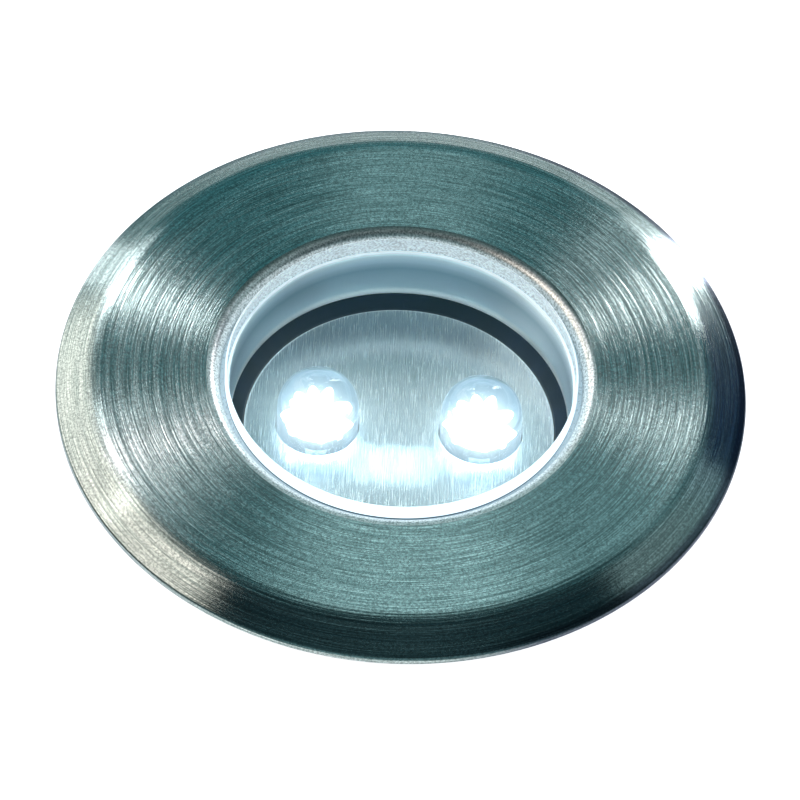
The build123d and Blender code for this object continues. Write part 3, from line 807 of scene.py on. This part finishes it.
# %% Make one finish for each slot
black = (0.012, 0.013, 0.014)
finishes = {
    "faceplate_steel": plate_steel(),
    "foam_rubber": moulded("foam_rubber", (0.02, 0.02, 0.02), (0.05, 0.05, 0.05), 9000, 0.85, 0.05 * MM),
    # The sealant's emission is a painted glow, for the LED light that the glass carries to it.
    "clear_sealant": moulded(
        "clear_sealant", (0.34, 0.42, 0.46), (0.44, 0.53, 0.57), 3000, 0.3, 0.004 * MM,
        Transmission_Weight=0.3, Emission_Color=(0.62, 0.80, 0.92, 1), Emission_Strength=0.25,
    ),
    "black_rubber": moulded(
        "black_rubber", (0.001, 0.004, 0.014), (0.002, 0.007, 0.024), 5000, 0.5, 0.004 * MM,
        Specular_IOR_Level=0.06,
    ),
    "black_carrier": moulded("black_carrier", black, (0.028, 0.03, 0.032), 7000, 0.45, 0.008 * MM),
    "plated_lead_frame": bare_metal(
        "plated_lead_frame", (0.66, 0.68, 0.68), (0.86, 0.88, 0.88), (4000, 4000, 900), 0.22, 0.004 * MM
    ),
    "board_laminate": moulded(
        "board_laminate", (0.012, 0.10, 0.045), (0.02, 0.16, 0.07), 2500, 0.3, 0.01 * MM, Coat_Weight=0.5
    ),
    "solder": bare_metal(
        "solder", (0.5, 0.51, 0.52), (0.8, 0.81, 0.82), (3000, 3000, 3000), 0.25, 0.02 * MM
    ),
    "component_black": moulded("component_black", black, (0.03, 0.03, 0.03), 8000, 0.5, 0.006 * MM),
    "capacitor_yellow": moulded(
        "capacitor_yellow", (0.50, 0.28, 0.03), (0.66, 0.40, 0.06), 4000, 0.42, 0.006 * MM
    ),
    "terminal_white": moulded(
        "terminal_white", (0.66, 0.66, 0.62), (0.78, 0.78, 0.74), 6000, 0.42, 0.005 * MM
    ),
    "screw_steel": bare_metal(
        "screw_steel", (0.42, 0.43, 0.44), (0.68, 0.69, 0.70), (5000, 5000, 5000), 0.3, 0.006 * MM
    ),
    "housing_black": moulded(
        "housing_black", black, (0.020, 0.021, 0.023), 9000, 0.46, 0.02 * MM, Specular_IOR_Level=0.45
    ),
    "gland_nickel": bare_metal(
        "gland_nickel", (0.42, 0.40, 0.36), (0.50, 0.48, 0.43), (900, 900, 7000), 0.24, 0.002 * MM
    ),
    "spring_steel": bare_metal(
        "spring_steel", (0.38, 0.39, 0.40), (0.68, 0.69, 0.70), (900, 9000, 900), 0.28, 0.006 * MM
    ),
    "pin_steel": bare_metal(
        "pin_steel", (0.40, 0.41, 0.42), (0.62, 0.63, 0.64), (9000, 600, 9000), 0.24, 0.004 * MM
    ),
}
print("finishes:", ", ".join(finishes))

# %% [markdown]
# ## Foam ring
#
# The foam under the flange is cut from sheet, but its edges give a little. It is turned like the bezel, and
# its four edges are rounded over.

# %% Foam ring with soft edges
foam_edge = 0.15 * MM
foam_bore = foam_inner + foam_clearance
foam = turned_piece(
    "foam_ring",
    [
        (foam_bore, foam_low.z),
        (foam_high.x, foam_low.z),
        (foam_high.x, foam_high.z),
        (foam_bore, foam_high.z),
    ],
)
for foam_radius in (foam_bore, foam_high.x):
    for foam_height in (foam_low.z, foam_high.z):
        round_corner(foam, (foam_radius, foam_height), foam_edge, 4)
seat(foam, finishes["foam_rubber"], "foam_rubber", "flange_gasket")

# %% [markdown]
# ## Clip springs
#
# Each clip has a torsion spring of fine wire, wound about three turns round the clip's pin. One leg leans on
# the housing and the other on the clip, so one end of the wire stays and the other turns with the clip. The
# wire is a curve with a round section, made a mesh, and it is attached to neither body.

# %% Measures of a clip spring
hinge_x, hinge_z = 13.3 * MM, -9.42 * MM
coil_radius = 0.8 * MM
wire_radius = 0.13 * MM
coil_half = 1.15 * MM
first_angle = radians(180 - 22.61986)
coil_turn = radians(1098.6083)
housing_leg = 1.2 * MM
clip_leg = 3.1286 * MM
points_a_turn = 40


# %% Wind one spring
def clip_spring(name, side):
    """A coil of wire round a hinge on the left or right, with a straight leg at each end."""
    count = round(points_a_turn * coil_turn / (2 * pi))
    rise = 2 * coil_half / (coil_turn * coil_radius)
    path, ways = [], []
    for index in range(count + 1):
        angle = first_angle - coil_turn * index / count
        along = coil_half * (2 * index / count - 1)
        path.append(Vector((hinge_x + coil_radius * cos(angle), along, hinge_z + coil_radius * sin(angle))))
        ways.append(Vector((sin(angle), rise, -cos(angle))).normalized())
    path = [path[0] - ways[0] * housing_leg, *path, path[-1] + ways[-1] * clip_leg]
    curve = bpy.data.curves.new(name, "CURVE")
    curve.dimensions = "3D"
    curve.bevel_depth = wire_radius
    curve.bevel_resolution = 3
    curve.use_fill_caps = True
    spline = curve.splines.new("POLY")
    spline.points.add(len(path) - 1)
    for point, place in zip(spline.points, path):
        point.co = (side * place.x, place.y, place.z, 1)
    piece = bpy.data.objects.new(name, curve)
    bpy.context.scene.collection.objects.link(piece)
    only(piece)
    bpy.ops.object.convert(target="MESH")
    piece = bpy.context.active_object
    bpy.ops.object.mode_set(mode="EDIT")
    bpy.ops.mesh.select_all(action="SELECT")
    bpy.ops.mesh.remove_doubles(threshold=weld)
    bpy.ops.mesh.normals_make_consistent(inside=False)
    bpy.ops.object.mode_set(mode="OBJECT")
    return piece


for side, side_sign in (("left", -1), ("right", 1)):
    spring = clip_spring(f"spring_wire_{side}", side_sign)
    seat(spring, finishes["spring_steel"], "spring_steel", f"clip_spring_{side}", body=None, smooth=40)
    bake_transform(spring)

# %% Give each kept piece its finish
replaced_here = {
    "bezel", "lens", "led_left", "led_right", "led_chip_left", "led_chip_right",
    "flange_gasket", "clip_spring_left", "clip_spring_right",
}
for subpart in frame["record"]["subparts"]:
    node, slot = subpart["node"], subpart["material_slot"]
    if node not in replaced_here:
        for holder in cad_nodes[node].material_slots:
            holder.material = finishes[slot]
        print(node, "gets", finishes[slot].name)

# %% [markdown]
# ## Floor
#
# The floor is a pale light table, so it throws light up and takes no dark shadow. Its colour and glow are a
# painted pool of light: they fade to a dark teal away from the light, because the steel mirrors what lies
# further out.

# %% Lay the floor
floor_size = 3.0
bpy.ops.object.select_all(action="DESELECT")
bpy.ops.mesh.primitive_plane_add(size=floor_size, location=(0, 0, cad_bounds[0].z))
floor = bpy.context.active_object
floor.name = "floor"
floor_material, floor_nodes, floor_links, floor_shader = new_material(
    "floor_white", Roughness=0.9, Emission_Strength=0.95
)
floor_reach = axis_distance(floor_nodes, floor_links, object_place(floor_nodes))
# Painted pool of light: the floor's colour and glow are white near the light and fade to dark teal further
# out.
floor_painted_light_pool = ramp(floor_nodes, floor_links, floor_reach, (0.09, (1, 1, 1)), (0.2, (0.15, 0.27, 0.27)))
floor_links.new(floor_painted_light_pool, floor_shader.inputs["Base Color"])
floor_links.new(floor_painted_light_pool, floor_shader.inputs["Emission Color"])
floor.data.materials.append(floor_material)
print("floor at", round(cad_bounds[0].z / MM, 2), "mm")

# %% [markdown]
# ## Lamps
#
# Steel that is brushed in circles draws each lamp out into a fan that runs across the flange. So every fan
# has a lamp of its own, placed where the steel mirrors it into the camera: a narrow lamp makes a sharp fan,
# and a wide weak one lifts the tone between two fans. A lamp's first size runs round the flange and its
# second one up the fan. Small round lamps in the recess are the light that the LEDs throw on the faceplate
# and the wall.

# %% Place the lamps
def lamp(name, place, width, height, power, colour=(1, 1, 1), along=(0, 0, 1)):
    """A rectangular lamp that faces the light's middle. Its height runs along the given direction."""
    data = bpy.data.lights.new(name, "AREA")
    data.shape = "RECTANGLE"
    data.size, data.size_y = width, height
    data.energy = power
    data.color = colour
    holder = bpy.data.objects.new(name, data)
    bpy.context.scene.collection.objects.link(holder)
    backwards = Vector(place).normalized()
    across = Vector(along).cross(backwards).normalized()
    upwards = backwards.cross(across)
    turn = Matrix((across, upwards, backwards)).transposed().to_4x4()
    holder.matrix_world = Matrix.Translation(place) @ turn


cool = (0.75, 1.0, 1.0)
warm = (1.0, 0.87, 0.77)
pink = (1.0, 0.80, 0.80)
lamp("lamp_back_left", (-0.0575, 0.081, 0.040), 0.013, 0.070, 0.0055, along=(0.05, -0.02, 0.32))
lamp("lamp_back_right", (0.0535, 0.097, 0.040), 0.013, 0.070, 0.0560, along=(-0.05, -0.02, 0.32))
lamp("lamp_low_right", (0.0561, 0.1342, 0.0369), 0.012, 0.050, 0.0034, along=(0.213, 0.144, -0.966))
lamp("lamp_rim_right", (0.0444, 0.1424, 0.0162), 0.012, 0.050, 0.0006, along=(0.06, 0.062, -0.996))
lamp("lamp_warm_left", (-0.1163, 0.0493, 0.0993), 0.062, 0.215, 0.095, warm, (-0.08, 0.72, -0.46))
lamp("lamp_cool_right", (0.112, 0.026, 0.108), 0.060, 0.085, 0.0064, cool, (0.04, 0.375, -0.23))
lamp("lamp_near_left", (-0.0535, 0.0725, 0.1199), 0.006, 0.034, 0.0078, pink, (-0.896, -0.399, -0.194))
lamp("lamp_left", (-0.0549, 0.0806, 0.114), 0.005, 0.030, 0.0026, along=(-0.919, -0.264, -0.292))
lamp("lamp_bevel_left", (-0.0949, 0.0299, 0.1123), 0.012, 0.050, 0.0052, warm, (-0.707, -0.495, -0.505))
lamp("lamp_wide_left", (-0.0447, 0.0726, 0.1234), 0.012, 0.050, 0.0032, along=(-0.88, -0.468, -0.079))
lamp("lamp_far_left", (-0.0510, 0.1058, 0.0932), 0.007, 0.032, 0.0128, along=(-0.77, 0.14, -0.62))
lamp("lamp_low_left", (-0.0622, 0.119, 0.0669), 0.012, 0.050, 0.0030, along=(-0.498, 0.181, -0.848))
lamp("lamp_right", (0.028, 0.1140, 0.0935), 0.005, 0.020, 0.0007, along=(0.65, 0.42, -0.63))
lamp("lamp_streak_right", (0.0338, 0.0890, 0.1155), 0.004, 0.018, 0.0016, along=(0.965, -0.10, -0.24))
lamp("lamp_above", (0.0135, 0.021, 0.048), 0.018, 0.037, 0.0006, cool, (1, 0, 0))
lamp("lamp_near", (0.001, 0.0665, 0.1340), 0.034, 0.030, 0.0040, cool, (0.0, -0.899, 0.438))
lamp("lamp_far", (0.0, 0.1181, 0.0924), 0.020, 0.030, 0.0012, cool, (0.0, 0.588, -0.809))


# %% Light that the LEDs throw into the recess
def recess_light(name, place, power, size):
    """A small round lamp in the recess. It isn't seen itself, only what it lights."""
    data = bpy.data.lights.new(name, "POINT")
    data.energy = power
    data.color = (0.72, 0.90, 1.0)
    data.shadow_soft_size = size
    holder = bpy.data.objects.new(name, data)
    bpy.context.scene.collection.objects.link(holder)
    holder.location = place
    holder.visible_camera = False
    holder.visible_transmission = False


led_place = (led_low.x + led_high.x) / 2
dome_power, dome_size = 0.00003, 1.2 * MM
dome_y, dome_z = -1.5 * MM, led_high.z - 0.5 * MM
between_power, between_size = 0.0001, 1.4 * MM
between_y, between_z = -1.0 * MM, -2.2 * MM
for name, across in (("left", -led_place), ("right", led_place)):
    recess_light(f"led_light_{name}", (across, dome_y, dome_z), dome_power, dome_size)
for name, across in (("left", -2.0 * MM), ("middle", -0.3 * MM), ("right", 1.4 * MM)):
    recess_light(f"led_light_{name}_between", (across, between_y, between_z), between_power, between_size)

# %% [markdown]
# ## Room
#
# Steel looks like the room it stands in. This one is a dark teal that grows paler towards the far side, with
# a pale horizon, and a deep blue corner on the far right, which the flange shows at its right end.

# %% Colour the room
world = bpy.data.worlds.new("room")
bpy.context.scene.world = world
world.use_nodes = True
room_nodes, room_links = world.node_tree.nodes, world.node_tree.links
room_way = room_nodes.new("ShaderNodeTexCoord").outputs["Generated"]
room_parts = parts_of(room_nodes, room_links, room_way)
sky = ramp(
    room_nodes,
    room_links,
    level(room_nodes, room_links, room_parts["Y"], -1, 1),
    (0.15, (0.15, 0.27, 0.29)),
    (0.30, (0.006, 0.027, 0.035)),
    (0.52, (0.006, 0.027, 0.035)),
    (0.60, (0.011, 0.045, 0.054)),
    (0.75, (0.036, 0.146, 0.164)),
    (0.90, (0.056, 0.220, 0.248)),
)
horizon = ramp(room_nodes, room_links, room_parts["Z"], (0.04, (1, 1, 1)), (0.12, (0, 0, 0)))
sky = mixed(room_nodes, room_links, sky, (0.22, 0.34, 0.34), horizon, blend="MIX")
corner_way = Vector((0.62, 0.65, 0.43)).normalized()
toward_corner = vector_maths(room_nodes, room_links, "DOT_PRODUCT", room_way, corner_way)
corner = ramp(room_nodes, room_links, toward_corner, (0.90, (0, 0, 0)), (0.97, (1, 1, 1)))
sky = mixed(room_nodes, room_links, sky, (0.005, 0.028, 0.085), corner, blend="MIX")
room_links.new(sky, room_nodes["Background"].inputs["Color"])
bpy.context.scene.view_settings.view_transform = "Standard"
print("room:", world.name)

# %% [markdown]
# ## Glare
#
# A camera's lens spreads very bright light a little. A soft bloom and a faint star do that round the LEDs,
# after the picture is rendered.

# %% Soft glare of the camera's lens
scene = bpy.context.scene
scene.use_nodes = True
film = scene.node_tree
film.nodes.clear()


def glare(kind, picture, **values):
    """Lays one kind of glare over a picture."""
    node = film.nodes.new("CompositorNodeGlare")
    node.glare_type = kind
    for socket, value in values.items():
        node.inputs[socket].default_value = value
    film.links.new(picture, node.inputs["Image"])
    return node.outputs["Image"]


picture = film.nodes.new("CompositorNodeRLayers").outputs["Image"]
picture = glare("BLOOM", picture, Threshold=2.5, Strength=0.13, Size=0.35)
picture = glare("STREAKS", picture, Threshold=6.0, Strength=0.04, Streaks=12, Iterations=3, Fade=0.90)
film.links.new(picture, film.nodes.new("CompositorNodeComposite").inputs["Image"])
print("glare: bloom and star")
